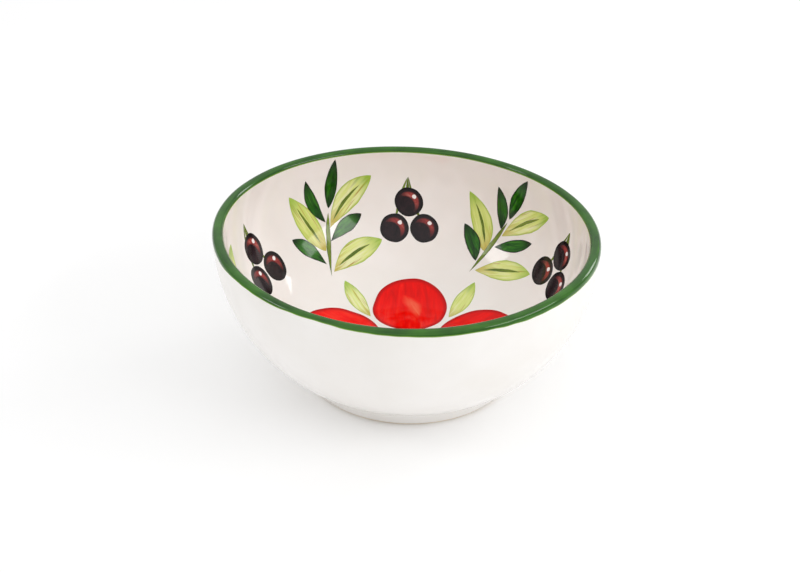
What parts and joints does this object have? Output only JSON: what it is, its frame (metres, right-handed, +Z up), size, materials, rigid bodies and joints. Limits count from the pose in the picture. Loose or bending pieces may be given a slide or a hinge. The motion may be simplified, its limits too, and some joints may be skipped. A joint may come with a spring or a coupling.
{
  "type": "olive dish",
  "caption": "Round glazed earthenware dish on a low foot ring, with a green band over the lip and a painted border of sprigs, berries and a flower inside, for serving olives.",
  "frame": {"origin": "on the table, at the middle of the foot ring", "axes": "+Z up along the axis of the bowl, -Y towards the viewer of the picture"},
  "size_m": [0.13, 0.13, 0.056],
  "materials": {
    "bisque": "unglazed fired clay, matt",
    "white_glaze": "glossy white glaze",
    "green_glaze": "glossy green glaze, brushed on",
    "pale_green_paint": "glossy yellow-green wash",
    "dark_green_paint": "glossy dark green",
    "olive_green_paint": "glossy olive green",
    "black_paint": "glossy near-black",
    "brick_red_paint": "glossy brick red",
    "white_paint": "glossy white",
    "red_paint": "glossy red",
    "coral_paint": "glossy coral",
    "eye_paint": "glossy green-black"
  },
  "bodies": {
    "root": {"clay_body": "bisque", "foot_ring": "bisque", "outside_glaze": "white_glaze", "inside_glaze": "white_glaze", "underside_glaze": "white_glaze", "rim_band": "green_glaze", "pale_leaves": "pale_green_paint", "dark_leaves": "dark_green_paint", "leaf_veins": "olive_green_paint", "sprig_stems": "olive_green_paint", "berries": "black_paint", "berry_flush": "brick_red_paint", "berry_highlights": "white_paint", "berry_stalks": "olive_green_paint", "petals": "red_paint", "petal_lights": "coral_paint", "flower_centre": "eye_paint", "flower_sepals": "pale_green_paint"}
  },
  "joints": []
}
